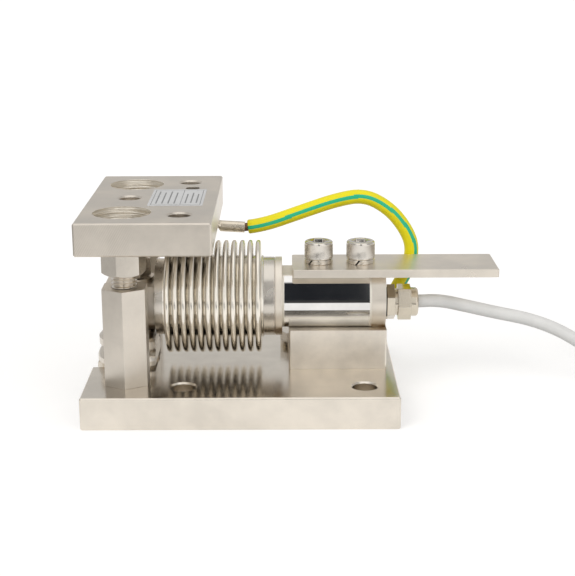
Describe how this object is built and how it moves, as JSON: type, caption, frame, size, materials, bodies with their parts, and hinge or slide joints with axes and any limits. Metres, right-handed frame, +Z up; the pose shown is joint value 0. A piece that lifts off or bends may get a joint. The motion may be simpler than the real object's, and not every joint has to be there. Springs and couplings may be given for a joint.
{
  "type": "weighing load cell module",
  "caption": "Bellows-sealed bending beam load cell clamped on a base plate, with two posts and a load plate over its free end, a cable gland and an earth wire.",
  "frame": {"origin": "centre of the base plate's underside", "axes": "+Z up, +X along the load cell from its free end to its cable, +Y to the rear, the earth wire's side"},
  "size_m": [0.4042, 0.1627, 0.1125],
  "materials": {
    "plated_steel": "fine blasted and nickel plated, satin",
    "turned_steel": "turned, satin",
    "bellows_steel": "rolled, bright satin",
    "mirror_steel": "mirror polished",
    "satin_steel": "satin",
    "bright_steel": "bright zinc or stainless",
    "label_film": "satin film",
    "gauge_foil": "matte film",
    "board_laminate": "satin",
    "lead_insulation": "matte",
    "seal_rubber": "matte",
    "nickel_brass": "nickel plated, bright",
    "cable_jacket": "satin",
    "core_insulation": "satin",
    "tie_plastic": "satin",
    "earth_jacket": "satin, yellow with a green stripe",
    "copper": "bare copper",
    "tinned_copper": "tin plated, satin"
  },
  "bodies": {
    "root": {"base_plate": "plated_steel", "bellows": "bellows_steel", "bridge_board": "board_laminate", "bridge_leads": "lead_insulation", "cable_coil": "cable_jacket", "cable_cores": "core_insulation", "cable_tail": "cable_jacket", "clamp_bar": "satin_steel", "clamp_screw_1": "bright_steel", "clamp_screw_2": "bright_steel", "coil_ties": "tie_plastic", "collar_fixed": "turned_steel", "collar_free": "turned_steel", "earth_core_base": "copper", "earth_core_top": "copper", "earth_lug_base": "tinned_copper", "earth_lug_top": "tinned_copper", "earth_screw_base": "bright_steel", "earth_screw_top": "bright_steel", "earth_washer_base": "bright_steel", "earth_washer_top": "bright_steel", "earth_wire": "earth_jacket", "gland_body": "nickel_brass", "gland_cap_nut": "nickel_brass", "gland_ring": "seal_rubber", "gland_seal": "seal_rubber", "hex_post_front": "bright_steel", "hex_post_rear": "bright_steel", "load_cell_body": "turned_steel", "load_jam_nut": "bright_steel", "load_lower_nut": "bright_steel", "load_lower_washer": "bright_steel", "load_stop_washer": "bright_steel", "load_stud": "bright_steel", "load_upper_nut": "bright_steel", "load_upper_washer": "bright_steel", "lock_washer_1": "bright_steel", "lock_washer_2": "bright_steel", "post_nut_front": "bright_steel", "post_nut_rear": "bright_steel", "post_stud_front": "bright_steel", "post_stud_rear": "bright_steel", "post_thin_nut_front": "bright_steel", "post_thin_nut_rear": "bright_steel", "post_washer_front": "bright_steel", "post_washer_rear": "bright_steel", "rating_label": "label_film", "side_cover_front": "mirror_steel", "side_cover_rear": "mirror_steel", "signal_cable": "cable_jacket", "spacer_block": "plated_steel", "strain_gauges": "gauge_foil", "top_plate": "plated_steel"}
  },
  "joints": []
}
